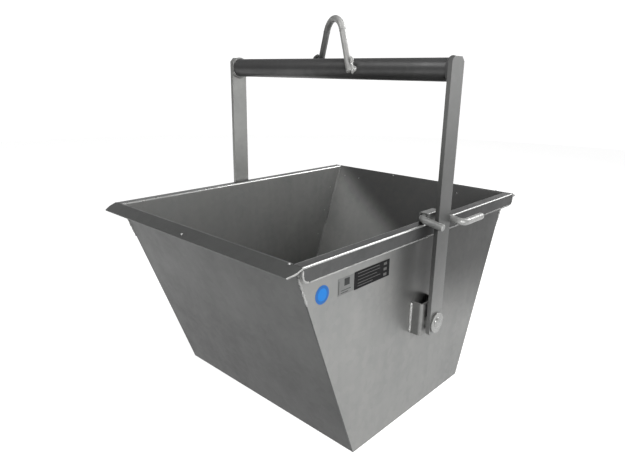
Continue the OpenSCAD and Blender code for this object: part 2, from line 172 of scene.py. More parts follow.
class TubStudio(bpy.types.PropertyGroup):
    """Light and camera."""

    lens: bpy.props.FloatProperty(name="Lens", description="Focal length", subtype="DISTANCE_CAMERA", default=30.647)
    key_power: bpy.props.FloatProperty(name="Key", description="Lamp at the latch's side", unit="POWER", default=24)
    rim_power: bpy.props.FloatProperty(name="Rim", description="Tall lamp at the back", unit="POWER", default=60)
    fill_power: bpy.props.FloatProperty(name="Fill", description="High lamp before the front", unit="POWER", default=14)
    top_power: bpy.props.FloatProperty(name="Top", description="Lamp overhead", unit="POWER", default=11)
    ambient: bpy.props.FloatProperty(name="Ambient", description="Even light from overhead", default=0.2)


def add(tree, kind, inputs=None, **settings):
    """Adds one shader node; inputs maps a socket to a value or to another node's output."""
    made = tree.nodes.new(kind)
    for name, value in settings.items():
        setattr(made, name, value)
    for socket, value in (inputs or {}).items():
        if isinstance(value, bpy.types.NodeSocket):
            tree.links.new(value, made.inputs[socket])
        else:
            made.inputs[socket].default_value = value
    return made


def bare_material(name):
    material = bpy.data.materials.new(name)
    material.use_nodes = True
    material.node_tree.nodes.clear()
    return material, material.node_tree


def zinc_coat(name, pale, dull, metallic=0.45, rough=(0.29, 0.4), spangle_mm=14, wave_mm=0.5, glare=0.5, shade=()):
    """Hot-dip zinc on steel: cloudy greys, faint frost-like grains and runs left as the bath drained.

    It gives the eye a dull metal with soft blurred reflections and a slightly uneven surface. The colour may be
    darkened towards one part by painted shade: shade holds the tone left there, then directions with where along each
    darkening starts and ends.
    """
    if name in bpy.data.materials:
        return bpy.data.materials[name]
    material, tree = bare_material(name)
    where = add(tree, "ShaderNodeTexCoord").outputs["Object"]
    cloud = add(tree, "ShaderNodeTexNoise",
                {"Vector": where, "Scale": 1 / (CLOUD_MM * MM), "Detail": 4.0, "Roughness": 0.55})
    grains = add(tree, "ShaderNodeTexVoronoi", {"Vector": where, "Scale": 1 / (spangle_mm * MM), "Randomness": 1.0})
    grain = add(tree, "ShaderNodeSeparateColor", {0: grains.outputs["Color"]})
    drawn = add(tree, "ShaderNodeMapping", {"Vector": where, "Scale": [1 / (mm * MM) for mm in RUN_MM]})
    runs = add(tree, "ShaderNodeTexNoise", {"Vector": drawn.outputs[0], "Scale": 1.0, "Detail": 3.0, "Roughness": 0.5})
    soft = add(tree, "ShaderNodeMath", {0: cloud.outputs[0], 1: CLOUD_SHARE}, operation="MULTIPLY")
    frost = add(tree, "ShaderNodeMath", {0: grain.outputs[0], 1: GRAIN_SHARE, 2: soft.outputs[0]},
                operation="MULTIPLY_ADD")
    mottle = add(tree, "ShaderNodeMath", {0: runs.outputs[0], 1: RUN_SHARE, 2: frost.outputs[0]},
                 operation="MULTIPLY_ADD")
    spread = add(tree, "ShaderNodeMapRange", {0: mottle.outputs[0], 1: MOTTLE_FROM, 2: MOTTLE_TO, 3: 0.0, 4: 1.0})
    tint = add(tree, "ShaderNodeMix", {0: spread.outputs[0], 6: dull, 7: pale}, data_type="RGBA")
    # Painted shade: the tint is darkened towards the parts that shade names
    if shade:
        wear_and_painted_shade = 1.0
        for along, start, end in shade[1:]:
            reach = add(tree, "ShaderNodeVectorMath", {0: where, 1: along}, operation="DOT_PRODUCT")
            ramp = add(tree, "ShaderNodeMapRange", {0: reach.outputs["Value"], 1: start, 2: end},
                       interpolation_type="SMOOTHSTEP")
            wear_and_painted_shade = add(tree, "ShaderNodeMath", {0: wear_and_painted_shade, 1: ramp.outputs[0]}, operation="MULTIPLY").outputs[0]
        left = add(tree, "ShaderNodeMapRange", {0: wear_and_painted_shade, 3: 1.0, 4: shade[0]})
        tint = add(tree, "ShaderNodeMix", {0: 1.0, 6: tint.outputs[2], 7: left.outputs[0]},
                   data_type="RGBA", blend_type="MULTIPLY")
    gloss = add(tree, "ShaderNodeMapRange",
                {0: mottle.outputs[0], 1: MOTTLE_FROM, 2: MOTTLE_TO, 3: rough[1], 4: rough[0]})
    buckle = add(tree, "ShaderNodeTexNoise", {"Vector": where, "Scale": 1 / (BUCKLE_MM * MM), "Detail": 1.0})
    grit = add(tree, "ShaderNodeTexNoise", {"Vector": where, "Scale": 1 / (GRIT_MM * MM), "Detail": 2.0})
    bent = add(tree, "ShaderNodeBump",
               {"Strength": BUCKLE_STRENGTH, "Distance": wave_mm * 4 * MM, "Height": buckle.outputs[0]})
    bump = add(tree, "ShaderNodeBump", {"Strength": GRIT_STRENGTH, "Distance": GRIT_DEPTH_MM * MM,
                                        "Height": grit.outputs[0], "Normal": bent.outputs[0]})
    shader = add(tree, "ShaderNodeBsdfPrincipled", {
        "Base Color": tint.outputs[2], "Roughness": gloss.outputs[0], "Metallic": metallic, "Normal": bump.outputs[0],
        "Specular IOR Level": glare})
    add(tree, "ShaderNodeOutputMaterial", {"Surface": shader.outputs[0]})
    return material


def printed_film(name, tone, rough, grain_mm, glare=0.5):
    """Printed vinyl film or painted plate: one even colour, faintly mottled by handling, with a satin face."""
    if name in bpy.data.materials:
        return bpy.data.materials[name]
    material, tree = bare_material(name)
    where = add(tree, "ShaderNodeTexCoord").outputs["Object"]
    smudge = add(tree, "ShaderNodeTexNoise", {"Vector": where, "Scale": 1 / (grain_mm * MM), "Detail": 3.0})
    wear_and_painted_shade = [min(1.0, c * WORN_GAIN + WORN_LIFT) for c in tone[:3]] + [1.0]
    tint = add(tree, "ShaderNodeMix", {0: smudge.outputs[0], 6: tone, 7: wear_and_painted_shade}, data_type="RGBA")
    gloss = add(tree, "ShaderNodeMapRange", {0: smudge.outputs[0], 3: rough - ROUGH_SPAN, 4: rough + ROUGH_SPAN})
    shader = add(tree, "ShaderNodeBsdfPrincipled", {
        "Base Color": tint.outputs[2], "Roughness": gloss.outputs[0], "Specular IOR Level": glare})
    add(tree, "ShaderNodeOutputMaterial", {"Surface": shader.outputs[0]})
    return material


def finishes():
    """The tub's materials by the words that the operators use."""
    f = bpy.context.scene.tub_finish
    return {
        "side": zinc_coat("Galvanised side sheet", f.sheet_pale[:], f.sheet_dull[:], glare=0.15),
        # Painted shade: the latch side's sheet is darkened towards its upper back, where a dark reflection falls
        "latch_side": zinc_coat("Cloudy galvanised side sheet", f.sheet_pale[:], f.sheet_dull[:], glare=0.15,
                                shade=(0.2, ((0, 1, 0), -0.24, 0.0), ((0, 0.2, 0.98), 0.18, 0.4))),
        # Painted shade: front and back are darker zinc, and darker still towards the bottom
        "end": zinc_coat("Galvanised end sheet", f.end_pale[:], f.end_dull[:], glare=0.2,
                         shade=(0.28, ((0, 0, -1), -0.47, -0.05))),
        # Painted highlight: cut edges are lighter than the sheet
        "edge": zinc_coat("Galvanised cut edge", f.edge_pale[:], f.edge_dull[:], spangle_mm=8, wave_mm=0.2),
        # Painted highlight and shade: the skirt's drained edges are light, and darker towards the back
        "drained": zinc_coat("Drained zinc edge", f.edge_pale[:], f.edge_dull[:], spangle_mm=8, wave_mm=0.2,
                             shade=(0.4, ((0, 1, 0), -0.12, 0.06))),
        # Painted light: inner faces are lighter than the end sheets' outside
        "inside": zinc_coat("Used galvanised sheet", f.inside_pale[:], f.inside_dull[:], rough=(0.34, 0.5)),
        # Painted light and shadow: the back's inner face is lighter still, with a painted shadow towards its upper
        # right
        "back": zinc_coat("Poured-over galvanised sheet", f.back_pale[:], f.back_dull[:], rough=(0.34, 0.5),
                          shade=(0.22, ((0.51, 0, 0.86), 0.22, 0.31), ((0, 1, 0), 0.28, 0.34))),
        # Painted shade: rim and skirt are darker zinc, darker still towards the back
        "rim": zinc_coat("Galvanised rim", f.rim_pale[:], f.rim_dull[:], metallic=0.6, wave_mm=0.2, glare=0.2,
                         shade=(0.4, ((0, 1, 0), -0.3, 0.15))),
        # Painted highlight: folds are bright, with painted shade towards the back on the latch side
        "bend": zinc_coat("Drawn zinc on a fold", f.bend_pale[:], f.bend_dull[:], metallic=0.85, rough=(0.24, 0.34),
                          spangle_mm=8, wave_mm=0.1, shade=(0.4, ((0, 1, 0), -0.02, 0.1), ((1, 0, 0), 0.0, 0.2))),
        # Painted light and shade: the arm at the latch is lighter at its ends and darker around the rim's height
        "bar": zinc_coat("Galvanised flat bar", f.bar_pale[:], f.bar_dull[:], wave_mm=0.2,
                         shade=(0.42, ((0, 0, -1), -0.84, -0.5), ((0, 0, 1), 0.24, 0.46))),
        "fitting": zinc_coat("Galvanised fitting", f.fitting_pale[:], f.fitting_dull[:], wave_mm=0.2),
        # Painted light: the far arm is a lighter copy of the arm zinc
        "far_bar": zinc_coat("Bright flat bar", f.far_bar_pale[:], f.far_bar_dull[:], wave_mm=0.2),
        # Painted shade: the tube is darker on its underside
        "tube": zinc_coat("Galvanised tube", f.tube_pale[:], f.tube_dull[:], rough=(0.3, 0.45), wave_mm=0.1,
                          shade=(0.65, ((0, 0, -1), -0.845, -0.805))),
        "rod": zinc_coat("Bright zinc rod", f.rod_pale[:], f.rod_dull[:], metallic=0.25, rough=(0.28, 0.42),
                         wave_mm=0.1),
        "pin": zinc_coat("Turned zinc pin", f.pin_pale[:], f.pin_dull[:], metallic=0.8, rough=(0.2, 0.32),
                         wave_mm=0.1),
        # Painted light and shade: the eye is bright zinc, shaded darker on its left leg
        "eye": zinc_coat("Half-bright zinc rod", f.eye_pale[:], f.rod_pale[:], metallic=0.2, rough=(0.25, 0.4),
                         wave_mm=0.1, shade=(0.22, ((-1, 0, 0), -0.06, 0.05))),
        "bead": zinc_coat("Zinc-coated weld", f.bead_pale[:], f.bead_dull[:], rough=(0.28, 0.5), spangle_mm=5),
        "blue": printed_film("Blue vinyl film", f.film_blue[:], 0.4, 20, glare=0.2),
        "light_blue": printed_film("Light blue vinyl film", f.film_light[:], 0.4, 20, glare=0.2),
        "pale": printed_film("Pale vinyl film", f.film_pale[:], 0.5, 15),
        "plate": printed_film("Black painted plate", f.plate_black[:], 0.6, 25, glare=0.06),
        "print": printed_film("White print", f.print_white[:], 0.5, 10, glare=0.2),
        "dark_print": printed_film("Grey print", f.print_dark[:], 0.5, 10, glare=0.2),
    }


def settle(bm, name, materials, body, replaced=()):
    """Makes a bmesh a piece on a body, in place of the nodes named, round where it bends and sharp at corners."""
    bm.normal_update()
    for face in bm.faces:
        face.smooth = True
    for edge in bm.edges:
        edge.smooth = edge.is_manifold and edge.calc_face_angle(0.0) < ROUND_ANGLE
    mesh = bpy.data.meshes.new(name)
    bm.to_mesh(mesh)
    bm.free()
    for material in materials:
        mesh.materials.append(material)
    piece = bpy.data.objects.new(name, mesh)
    bpy.context.scene.collection.objects.link(piece)
    even = piece.modifiers.new("Even shading", "WEIGHTED_NORMAL")
    even.keep_sharp = True
    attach(piece, body)
    if replaced:
        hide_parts(*replaced)


def merged_copy(name):
    """A node's mesh as a bmesh, with its loose triangles joined into whole faces."""
    bm = bmesh.new()
    bm.from_mesh(NODES[name].data)
    bmesh.ops.remove_doubles(bm, verts=bm.verts, dist=JOIN_MM * MM)
    bmesh.ops.dissolve_limit(bm, angle_limit=FLAT_ANGLE, verts=bm.verts, edges=bm.edges)
    return bm


def ease(bm, width, segments=2, shortest=0.0):
    """Rounds the hard edges of a bmesh a little, as cutting and zinc leave them."""
    hard = [e for e in bm.edges if is_hard(e) and e.calc_length() > shortest]
    bmesh.ops.bevel(bm, geom=hard, offset=width, offset_type="OFFSET", affect="EDGES",
                    segments=segments, profile=0.5, material=-1, clamp_overlap=False)


def is_hard(edge):
    return edge.is_manifold and edge.calc_face_angle(0.0) > EASE_ANGLE


def mark_faces(bm):
    """Sorts a sheet's faces: cut ends, folds along the rim, rim and skirt, inside the tub, and else outside."""
    for face in bm.faces:
        longest = sorted(face.edges, key=lambda e: e.calc_length())[-2:]
        narrow = face.calc_area() / longest[1].calc_length() < CUT_EDGE_MM * MM
        middle = face.calc_center_median()
        inward = (TUB_MIDDLE - middle).normalized().dot(face.normal)
        rounded = FOLD_UP[0] < face.normal.z < FOLD_UP[1] and abs(face.normal.x) > FOLD_SIDEWAYS
        face.material_index = OUTSIDE
        if narrow and longest[1].calc_length() < END_CUT and all(is_hard(e) for e in longest):
            face.material_index = CUT_END
        elif middle.z > BEND_FROM and rounded:
            face.material_index = BEND
        elif abs(middle.x) > RIM_FROM:
            face.material_index = RIM
        elif inward > INNER_SHARE:
            face.material_index = INSIDE


def dress(name, materials, width, segments=2, shortest=0.0):
    """Puts an eased copy of a node in its place."""
    bm = merged_copy(name)
    if len(materials) > 1:
        mark_faces(bm)
    ease(bm, width, segments, shortest)
    settle(bm, name + "_dressed", materials, BODY_OF[name], [name])


def ripple(share, seed, rough=UNEVEN):
    """Swelling of a bead at a place along it, counted in ripples."""
    crest = CREST * math.sin(2 * math.pi * share)
    return 1 + crest + rough * noise.noise((share * UNEVEN_STEP, seed * 7.3, 0.5))


def straight_bead(bm, start, end, radius, seed, pitch, rough=UNEVEN):
    """Adds one straight weld bead, a round run that swells and shrinks with each ripple and closes at its ends."""
    start, end = Vector(start) * MM, Vector(end) * MM
    run = end - start
    turn = Matrix.Translation((start + end) / 2) @ run.to_track_quat("Z", "Y").to_matrix().to_4x4()
    one = bmesh.new()
    bmesh.ops.create_cone(one, cap_ends=True, segments=BEAD_SIDES, radius1=radius * MM, radius2=radius * MM,
                          depth=run.length)
    sides = [e for e in one.edges if abs(e.verts[0].co.z - e.verts[1].co.z) > run.length / 2]
    cuts = max(FEWEST_CUTS, round(CUTS_PER_RIPPLE * run.length / pitch))
    bmesh.ops.subdivide_edges(one, edges=sides, cuts=cuts, use_grid_fill=True)
    for v in one.verts:
        left = max(0.0, min(1.0, (run.length / 2 - abs(v.co.z)) / (radius * MM)))
        swell = ripple(v.co.z / pitch, seed, rough) * max(NARROWEST_END, math.sqrt(1 - (1 - left) ** 2))
        lump = rough * noise.noise((v.co.x / pitch, v.co.y / pitch, v.co.z / pitch + 5 * seed))
        v.co.x *= swell + lump
        v.co.y *= swell + lump
    bmesh.ops.transform(one, matrix=turn, verts=one.verts)
    laid = bpy.data.meshes.new("bead")
    one.to_mesh(laid)
    one.free()
    bm.from_mesh(laid)
    bpy.data.meshes.remove(laid)


class TUB_OT_stage(bpy.types.Operator):
    """Sets up the pale floor, the soft lamps, the white surroundings and the camera."""

    bl_idname = "tub.stage"
    bl_label = "Stage"

    CAMERA_AT = (0.91806, -1.02783, 0.81887)
    CAMERA_RIGHT = (0.72684, 0.68667, 0.01329)
    CAMERA_UP = (-0.21046, 0.20427, 0.95602)
    SENSOR_MM, NEAREST = 36, 0.02
    FLOOR_HALF, WALL_R, WALL_H, WALL_SIDES = 9.0, 6.0, 4.5, 96
    # The floor lies a little below the part
    FLOOR_AT = -0.2 * MM
    # The wall is white to the first height and as dim as the room above the second
    WHITE_TO, DIM_FROM = 1.9, 3.0
    # Across the floor's middle, along this direction, the wall is dim before the first place and white past the second
    WHITE_SIDE, WHITE_SPAN = (-0.31, 0.95, 0), (0.3, 2.4)
    FLOOR_LIFT = 0.92
    PALE = (0.45, 0.45, 0.45, 1)
    # Each lamp's width and height, place, and the point it looks at
    LAMPS = {"key": ((0.9, 0.9), (1.5, -0.6, 0.8), (0.3, -0.05, 0.25)),
             "rim": ((0.9, 2.2), (1.1, 2.7, 2.3), (0, 0, 0.5)),
             "fill": ((1.2, 1.2), (-0.8, -1.5, 2.6), (0, 0.35, 0.35)),
             "top": ((1.6, 1.6), (0.4, 0.2, 2.9), (0, 0, 0.4))}

    def lamp(self, name, power, size, at, aim):
        data = bpy.data.lights.new(name, "AREA")
        data.energy = power
        data.shape = "RECTANGLE"
        data.size, data.size_y = size
        lamp = bpy.data.objects.new(name, data)
        bpy.context.scene.collection.objects.link(lamp)
        lamp.location = at
        lamp.rotation_euler = (Vector(aim) - Vector(at)).to_track_quat("-Z", "Y").to_euler()

    def seen(self, tree):
        """One where the camera, a reflection or a clear surface looks, and zero for light that spreads."""
        ray = add(tree, "ShaderNodeLightPath").outputs
        looked = add(tree, "ShaderNodeMath", {0: ray["Is Camera Ray"], 1: ray["Is Glossy Ray"]}, operation="MAXIMUM")
        looked = add(tree, "ShaderNodeMath", {0: looked.outputs[0], 1: ray["Is Transmission Ray"]}, operation="MAXIMUM")
        return looked.outputs[0]

    def surround(self, bm, name, strength):
        """Makes a stage object of matt pale paint that looks as white as the strength node says."""
        mesh = bpy.data.meshes.new(name)
        bm.to_mesh(mesh)
        bm.free()
        made = bpy.data.objects.new(name, mesh)
        bpy.context.scene.collection.objects.link(made)
        material, tree = bare_material(name.replace("_", " ") + " paint")
        lift = add(tree, "ShaderNodeMath", {0: self.seen(tree), 1: strength(tree)}, operation="MULTIPLY")
        glow = add(tree, "ShaderNodeEmission", {"Color": (1, 1, 1, 1), "Strength": lift.outputs[0]})
        matt = add(tree, "ShaderNodeBsdfDiffuse", {"Color": self.PALE})
        both = add(tree, "ShaderNodeAddShader", {0: glow.outputs[0], 1: matt.outputs[0]})
        add(tree, "ShaderNodeOutputMaterial", {"Surface": both.outputs[0]})
        mesh.materials.append(material)

    def wall_fade(self, tree):
        where = add(tree, "ShaderNodeTexCoord").outputs["Object"]
        height = add(tree, "ShaderNodeSeparateXYZ", {0: where}).outputs["Z"]
        across = add(tree, "ShaderNodeVectorMath", {0: where, 1: self.WHITE_SIDE}, operation="DOT_PRODUCT")
        dim = bpy.context.scene.tub_studio.ambient
        near, far = self.WHITE_SPAN
        side = add(tree, "ShaderNodeMapRange", {0: across.outputs["Value"], 1: near, 2: far, 3: dim, 4: 1.0},
                   interpolation_type="SMOOTHSTEP")
        return add(tree, "ShaderNodeMapRange",
                   {0: height, 1: self.WHITE_TO, 2: self.DIM_FROM, 3: side.outputs[0], 4: dim},
                   interpolation_type="SMOOTHSTEP").outputs[0]

    def execute(self, context):
        scene, studio = context.scene, context.scene.tub_studio
        scene.view_settings.view_transform = "Standard"
        bm = bmesh.new()
        bmesh.ops.create_grid(bm, x_segments=1, y_segments=1, size=self.FLOOR_HALF,
                              matrix=Matrix.Translation((0, 0, self.FLOOR_AT)))
        self.surround(bm, "studio_floor", lambda tree: self.FLOOR_LIFT)
        bm = bmesh.new()
        bmesh.ops.create_cone(bm, cap_ends=False, segments=self.WALL_SIDES, radius1=self.WALL_R, radius2=self.WALL_R,
                              depth=self.WALL_H, matrix=Matrix.Translation((0, 0, self.WALL_H / 2 + self.FLOOR_AT)))
        self.surround(bm, "studio_wall", self.wall_fade)

        world = bpy.data.worlds.new("Studio")
        world.use_nodes = True
        scene.world = world
        tree = world.node_tree
        tree.nodes.clear()
        room = add(tree, "ShaderNodeBackground", {"Color": (1, 1, 1, 1), "Strength": studio.ambient})
        add(tree, "ShaderNodeOutputWorld", {"Surface": room.outputs[0]})

        powers = {"key": studio.key_power, "rim": studio.rim_power, "fill": studio.fill_power, "top": studio.top_power}
        for name, (size, at, aim) in self.LAMPS.items():
            self.lamp(name + "_lamp", powers[name], size, at, aim)

        data = bpy.data.cameras.new("camera")
        data.lens = studio.lens
        data.sensor_width = self.SENSOR_MM
        data.sensor_fit = "HORIZONTAL"
        data.clip_start = self.NEAREST
        camera = bpy.data.objects.new("camera", data)
        scene.collection.objects.link(camera)
        right, up = Vector(self.CAMERA_RIGHT).normalized(), Vector(self.CAMERA_UP).normalized()
        turn = Matrix((right, up, right.cross(up))).transposed().to_4x4()
        camera.matrix_world = Matrix.Translation(self.CAMERA_AT) @ turn
        scene.camera = camera
        return {"FINISHED"}


class TUB_OT_sheets(bpy.types.Operator):
    """Dresses the folded sheets of the tub, the pivot channels and the latch's guide."""

    bl_idname = "tub.sheets"
    bl_label = "Sheets"

    PIECES = {"floor_sheet": "end", "front_sheet": "end", "back_sheet": "end", "left_side_sheet": "side",
              "right_side_sheet": "latch_side", "left_pivot_channel": "fitting", "right_pivot_channel": "fitting",
              "latch_guide": "fitting"}
    # Finish of each folded sheet's inner face
    FOLDED = {"floor_sheet": "inside", "front_sheet": "inside", "back_sheet": "back", "left_side_sheet": "inside",
              "right_side_sheet": "inside"}

    def execute(self, context):
        for name, finish in self.PIECES.items():
            words = (finish, "edge", self.FOLDED[name], "rim", "bend") if name in self.FOLDED else (finish,)
            looks = [finishes()[word] for word in words]
            dress(name, looks, context.scene.tub_sizes.edge_ease, shortest=SHORTEST_EASED)
        return {"FINISHED"}


class TUB_OT_bail(bpy.types.Operator):
    """Dresses the arms, the crossbar tube, the lifting eye and the spacers at the pivots."""

    bl_idname = "tub.bail"
    bl_label = "Bail"

    PIECES = {"left_arm": "far_bar", "right_arm": "bar", "crossbar_tube": "tube", "lifting_eye": "eye",
              "left_pivot_spacer": "fitting", "right_pivot_spacer": "fitting"}

    def execute(self, context):
        for name, finish in self.PIECES.items():
            dress(name, [finishes()[finish]], context.scene.tub_sizes.edge_ease)
        return {"FINISHED"}


class TUB_OT_latch(bpy.types.Operator):
    """Dresses the latch's bent rod, and runs its front leg out to its real end beside the arm."""

    bl_idname = "tub.latch"
    bl_label = "Latch"

    SLOPE = math.radians(9.8)
    AXIS_AT = Vector((316 * MM, 0, 511 * MM))
    END_EASE, END_STEPS = 2.2, 4
    REACH_NEAR_END = 25.0

    def execute(self, context):
        bm = merged_copy("latch_rod")
        out = Vector((math.cos(self.SLOPE), 0, -math.sin(self.SLOPE)))
        tip = [v for v in bm.verts if v.co.y < 0 and (v.co - self.AXIS_AT).dot(out) > self.REACH_NEAR_END * MM]
        if not tip:
            raise RuntimeError("the latch's front leg has no end to lengthen")
        bmesh.ops.translate(bm, verts=tip, vec=out * context.scene.tub_sizes.prong_growth)
        ease(bm, self.END_EASE * MM, self.END_STEPS)
        settle(bm, "latch_rod_dressed", [finishes()["rod"]], "latch", ["latch_rod"])
        return {"FINISHED"}


class TUB_OT_pins(bpy.types.Operator):
    """Turns the pivot pins, each with a flat round head and a low dome in its middle."""

    bl_idname = "tub.pins"
    bl_label = "Pivot pins"

    AXIS_H = 260
    # Distance from the tub's middle and radius, from the pin's inner end to the dome's top
    PROFILE = ((305, 0), (305, 12.5), (354.7, 12.5), (354.7, 24.2), (355.0, 24.8), (355.6, 25), (358.4, 25),
               (359.3, 24.6), (359.7, 23.7), (359.7, 14.2), (359.9, 13.4), (360.5, 13), (361.2, 12.6),
               (361.9, 11.2), (362.4, 8.6), (362.65, 4.6), (362.7, 0))
    STEPS = 72

    def execute(self, context):
        for side, sign in (("left", -1), ("right", 1)):
            bm = bmesh.new()
            points = [bm.verts.new((sign * x * MM, 0, (self.AXIS_H + r) * MM)) for x, r in self.PROFILE]
            line = [bm.edges.new(pair) for pair in zip(points, points[1:])]
            bmesh.ops.spin(bm, geom=points + line, cent=(0, 0, self.AXIS_H * MM), axis=(1, 0, 0),
                           angle=2 * math.pi, steps=self.STEPS, use_merge=True)
            bmesh.ops.remove_doubles(bm, verts=bm.verts, dist=SPIN_JOIN_MM * MM)
            bmesh.ops.recalc_face_normals(bm, faces=bm.faces)
            settle(bm, f"{side}_pivot_pin_turned", [finishes()["pin"]], "tub",
                   [f"{side}_pivot_pin"])
        return {"FINISHED"}


class TUB_OT_welds(bpy.types.Operator):
    """Lays rippled beads where the sheets, channels, crossbar and eye are welded."""

    bl_idname = "tub.welds"
    bl_label = "Welds"

    # Inner faces: sides at 301 mm, front and back leaning from 225.72 mm at the floor by 0.38 a millimetre
    SIDE, FOOT, LEAN, SEAT = 301, 225.72, 0.38, 1.0
    CORNER_FROM, CORNER_TO, CORNER_R = 6, 491, 2.6
    FLOOR_H, FLOOR_R = 5.5, 4.0
    FLOOR_SIDE_HALF, FLOOR_FRONT_HALF = 214, 295
    CHANNEL_X, CHANNEL_Y, CHANNEL_FROM, CHANNEL_TO, CHANNEL_R = 306.2, 34.2, 230, 306, 4.2
    RING_X, RING_R, RING_BEAD_R, RING_H, ARM_HALF = 342.6, 25.4, 3.4, 826, 24.8
    RING_RIPPLES, RING_STEPS = 40, 144
    # The bead on the latch side takes the tube's finish, with its painted shade underneath
    RING_FINISH = {"left": "bead", "right": "tube"}
    EYE_MID, EYE_REACH, EYE_HALF, EYE_Y, EYE_R = 18, 76.6, 15, 25.0, 6.4
    # Beads beside the eye's two legs: start, end and radius
    EYE_RUNS = (((98.5, -32, 853), (105.2, -33, 815), 4.6), ((-57, 28, 859), (-74, 26, 848), 5.0))
    STITCH_X, STITCH_FOOT, STITCH_H, STITCH_R, ROUGH = 304.6, 229.3, (408, 472), 2.2, 0.6
    TACK = ((326, 418, 496), (317, 424, 496.5))
    # The skirt's edge: its face, lower edge, end and round corner
    DRAIN_X, DRAIN_H, DRAIN_R, DRAIN_UP, SKIRT_END = 327, 468.5, 1.9, (481, 494), 419.5
    TURN_AT, TURN_R, TURN_STEPS, TURN_OVERLAP = (406, 482), 13.5, 4, 0.35
    # Zinc drained along an edge swells this many times more slowly than a weld
    DRAIN_PITCH = 6
    # Where each kind of bead starts in the noise
    FLOOR_SEED, END_SEED, CHANNEL_SEED, EYE_SEED, RUN_SEED = 11, 15, 21, 31, 35
    STITCH_SEED, DRAIN_SEED, RING_SEED = 41, 51, 61

    def execute(self, context):
        pitch, bead = context.scene.tub_sizes.bead_pitch, finishes()["bead"]
        lean_in = self.FOOT - self.SEAT
        for seed, (end, y_sign) in enumerate((("front", -1), ("back", 1))):
            for x_sign, side in ((-1, "left"), (1, "right")):
                bm = bmesh.new()
                x = x_sign * (self.SIDE - self.SEAT)
                straight_bead(bm, (x, y_sign * (lean_in + self.LEAN * self.CORNER_FROM), self.CORNER_FROM),
                              (x, y_sign * (lean_in + self.LEAN * self.CORNER_TO), self.CORNER_TO),
                              self.CORNER_R, seed + x_sign, pitch)
                name = f"{end}_{side}_weld"
                settle(bm, name + "_bead", [bead], "tub", [name])
        bm = bmesh.new()
        for sign in (-1, 1):
            x, y = sign * (self.SIDE - self.SEAT), sign * lean_in
            straight_bead(bm, (x, -self.FLOOR_SIDE_HALF, self.FLOOR_H), (x, self.FLOOR_SIDE_HALF, self.FLOOR_H),
                          self.FLOOR_R, self.FLOOR_SEED + sign, pitch)
            straight_bead(bm, (-self.FLOOR_FRONT_HALF, y, self.FLOOR_H), (self.FLOOR_FRONT_HALF, y, self.FLOOR_H),
                          self.FLOOR_R, self.END_SEED + sign, pitch)
        settle(bm, "floor_weld_beads", [bead], "tub", ["floor_welds"])
        for side, sign in (("left", -1), ("right", 1)):
            bm = bmesh.new()
            for y in (-self.CHANNEL_Y, self.CHANNEL_Y):
                x = sign * self.CHANNEL_X
                straight_bead(bm, (x, y, self.CHANNEL_FROM), (x, y, self.CHANNEL_TO), self.CHANNEL_R,
                              self.CHANNEL_SEED + y * sign, pitch)
            settle(bm, f"{side}_channel_weld_beads", [bead], "tub",
                   [f"{side}_channel_welds"])
            self.ring_bead(side, sign, finishes()[self.RING_FINISH[side]])
        bm = bmesh.new()
        for sign in (-1, 1):
            x = self.EYE_MID + sign * self.EYE_REACH
            y = -sign * self.EYE_Y
            straight_bead(bm, (x - self.EYE_HALF, y, self.RING_H), (x + self.EYE_HALF, y, self.RING_H),
                          self.EYE_R, self.EYE_SEED + sign, pitch)
        for seed, (start, end, radius) in enumerate(self.EYE_RUNS):
            straight_bead(bm, start, end, radius, self.RUN_SEED + seed, pitch, self.ROUGH / 2)
        # The eye's beads take the eye's finish, with its painted light and shade
        settle(bm, "eye_weld_beads", [finishes()["eye"]], "bail", ["eye_welds"])
        self.outside_runs(pitch)
        return {"FINISHED"}

    def ring_bead(self, side, sign, material):
        """A bead round the crossbar's end, kept within the arm's width."""
        bm = bmesh.new()
        centre = Vector((sign * self.RING_X, 0, self.RING_H)) * MM
        start = Matrix.Translation(centre + Vector((0, 0, self.RING_R * MM))) @ Matrix.Rotation(math.pi / 2, 4, "X")
        circle = bmesh.ops.create_circle(bm, segments=BEAD_SIDES, radius=self.RING_BEAD_R * MM, matrix=start)["verts"]
        loop = list({e for v in circle for e in v.link_edges})
        bmesh.ops.spin(bm, geom=circle + loop, cent=centre, axis=(1, 0, 0), angle=2 * math.pi, steps=self.RING_STEPS,
                       use_merge=True)
        bmesh.ops.remove_doubles(bm, verts=bm.verts, dist=SPIN_JOIN_MM * MM)
        for v in bm.verts:
            spoke = v.co - centre
            angle = math.atan2(spoke.y, spoke.z)
            middle = centre + Vector((0, math.sin(angle), math.cos(angle))) * self.RING_R * MM
            share = self.RING_RIPPLES * angle / (2 * math.pi)
            v.co = middle + (v.co - middle) * ripple(share, self.RING_SEED + sign)
        for y in (-1, 1):
            cut = bmesh.ops.bisect_plane(bm, geom=bm.verts[:] + bm.edges[:] + bm.faces[:],
                                         plane_co=(0, y * self.ARM_HALF * MM, 0), plane_no=(0, y, 0), clear_outer=True)
            bmesh.ops.holes_fill(bm, edges=[g for g in cut["geom_cut"] if isinstance(g, bmesh.types.BMEdge)], sides=0)
        bmesh.ops.recalc_face_normals(bm, faces=bm.faces)
        name = f"{side}_crossbar_weld"
        settle(bm, name + "_bead", [material], "bail", [name])

